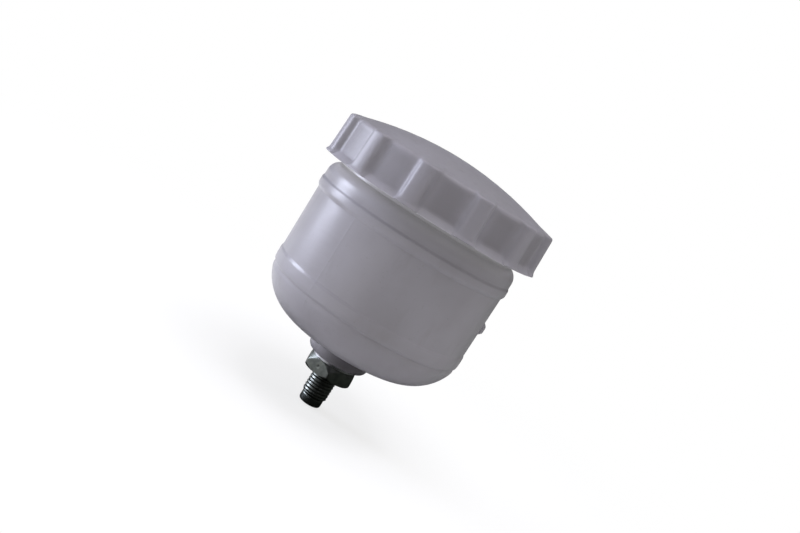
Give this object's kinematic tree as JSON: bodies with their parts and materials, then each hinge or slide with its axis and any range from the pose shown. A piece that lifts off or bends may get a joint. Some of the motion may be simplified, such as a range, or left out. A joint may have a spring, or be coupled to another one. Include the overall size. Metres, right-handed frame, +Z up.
{
  "type": "brake fluid reservoir",
  "caption": "Round moulded brake fluid pot with a domed, ribbed screw cap and a threaded steel outlet union under its floor.",
  "frame": {"origin": "centre of the outlet union's seating face, under its hexagon", "axes": "+Z up along the pot's axis towards the cap; -Y is the front, +X carries the level mark"},
  "size_m": [0.0878, 0.0878, 0.1065],
  "materials": {
    "body_plastic": "satin, milky translucent polyethylene",
    "cap_plastic": "satin, milky translucent polyethylene",
    "rubber": "matt black",
    "plated_steel": "dull zinc plate",
    "bright_washer": "bright plain metal"
  },
  "bodies": {
    "pot": {"reservoir_body": "body_plastic", "outlet_union": "plated_steel", "union_washer": "bright_washer", "nut_washer": "plated_steel", "lock_nut": "plated_steel"},
    "seal": {"cap_seal": "rubber"},
    "cap": {"screw_cap": "cap_plastic", "splash_baffle": "cap_plastic"}
  },
  "joints": [
    {"name": "cap_lift", "type": "slide", "parent": "pot", "child": "seal", "axis": [0, 0, 1], "range_m": [0, 0.008]},
    {"name": "cap_turn", "type": "hinge", "parent": "seal", "child": "cap", "pos_m": [0, 0, 0.08225], "axis": [0, 0, 1], "range_deg": [0, 720]}
  ],
  "couplings": [
    {"joint": "cap_lift", "follows": "cap_turn", "m_per_rad": 0.00063662}
  ]
}
